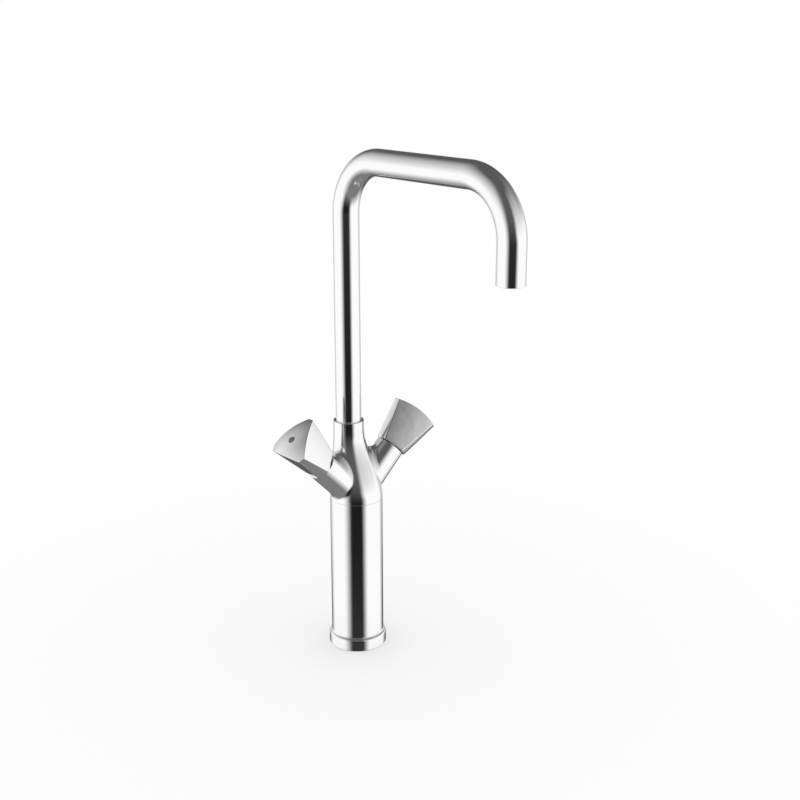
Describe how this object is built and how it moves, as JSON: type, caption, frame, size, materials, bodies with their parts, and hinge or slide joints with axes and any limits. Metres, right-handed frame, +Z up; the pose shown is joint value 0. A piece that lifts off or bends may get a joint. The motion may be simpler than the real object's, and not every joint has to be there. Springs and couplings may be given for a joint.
{
  "type": "basin mixer tap",
  "caption": "Tall deck-mounted basin mixer tap with a swivelling square-arched tube spout and two three-sided quarter-turn handles on angled valve arms.",
  "frame": {"origin": "mouth of the fixing stud's hole, on the column's axis in the plane of the deck", "axes": "+Z up along the column, -Y towards the user and the spout's outlet, +X to the cold arm"},
  "size_m": [0.165, 0.237, 0.477],
  "materials": {
    "polished_chrome": "mirror-polished chrome plate on brass",
    "handle_chrome": "chrome plate with flatter, softer reflections on the handles' faces",
    "raw_brass": "turned brass",
    "stainless_steel": "stainless steel",
    "black_rubber": "matt black rubber",
    "white_ceramic": "lapped alumina",
    "white_acetal": "moulded acetal",
    "index_grey": "dark grey index cap"
  },
  "bodies": {
    "tap_body": {"column_tube": "polished_chrome", "base_ring": "polished_chrome", "base_gasket": "black_rubber", "base_insert": "raw_brass", "mixer_body": "polished_chrome", "spout_lock_screw": "stainless_steel", "spout_slide_ring": "white_acetal", "hot_headpart": "raw_brass", "hot_seat_seal": "black_rubber", "hot_fixed_disc": "white_ceramic", "cold_headpart": "raw_brass", "cold_seat_seal": "black_rubber", "cold_fixed_disc": "white_ceramic"},
    "spout": {"spout_tube": "polished_chrome", "spout_spigot": "raw_brass", "lower_spout_o_ring": "black_rubber", "upper_spout_o_ring": "black_rubber", "outlet_bush": "raw_brass", "aerator_body": "white_acetal", "aerator_screen": "stainless_steel", "aerator_seal": "black_rubber"},
    "hot_valve": {"hot_handle": "handle_chrome", "hot_spindle": "raw_brass", "hot_moving_disc": "white_ceramic", "hot_spindle_o_ring": "black_rubber", "hot_circlip": "stainless_steel", "hot_index_cap": "index_grey", "hot_handle_screw": "stainless_steel"},
    "cold_valve": {"cold_handle": "handle_chrome", "cold_spindle": "raw_brass", "cold_moving_disc": "white_ceramic", "cold_spindle_o_ring": "black_rubber", "cold_circlip": "stainless_steel", "cold_index_cap": "index_grey", "cold_handle_screw": "stainless_steel"}
  },
  "joints": [
    {"name": "spout_swivel", "type": "hinge", "parent": "tap_body", "child": "spout", "pos_m": [0, 0.0105, 0.2135], "axis": [0, 0, 1], "continuous": true},
    {"name": "hot_handle_turn", "type": "hinge", "parent": "tap_body", "child": "hot_valve", "pos_m": [-0.04101, 0, 0.19101], "axis": [-0.7071, 0, 0.7071], "range_deg": [0, 90]},
    {"name": "cold_handle_turn", "type": "hinge", "parent": "tap_body", "child": "cold_valve", "pos_m": [0.04101, 0, 0.19101], "axis": [0.7071, 0, 0.7071], "range_deg": [-90, 0]}
  ]
}
